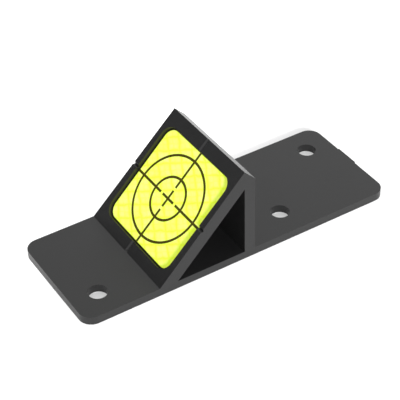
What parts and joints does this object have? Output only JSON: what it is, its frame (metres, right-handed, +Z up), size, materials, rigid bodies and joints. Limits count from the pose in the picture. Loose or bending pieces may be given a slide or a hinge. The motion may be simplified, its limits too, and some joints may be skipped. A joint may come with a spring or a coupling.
{
  "type": "survey reflector target",
  "caption": "Slanted retroreflective survey target with a ringed sighting reticle, in a frame moulded on a drilled mounting plate.",
  "frame": {"origin": "middle of the plate's underside, under the middle of the whole length", "axes": "+X along the plate from the foot of the slope towards its top, +Y across the plate, +Z up out of the plate; the target faces -X and +Z at 45 degrees"},
  "size_m": [0.1272, 0.046, 0.038],
  "materials": {
    "black_plastic": "black moulded plastic, satin",
    "adhesive": "pressure-sensitive adhesive, off-white",
    "white_film": "white sealing film, matt",
    "prism_film": "fluorescent microprismatic film",
    "face_film": "fluorescent yellow-green top film, satin",
    "ink": "black screen-printed ink"
  },
  "bodies": {
    "root": {"bracket": "black_plastic", "target_adhesive": "adhesive", "seal_film": "white_film", "prism_film": "prism_film", "face_film": "face_film", "reticle_print": "ink", "centre_cross": "ink"}
  },
  "joints": []
}
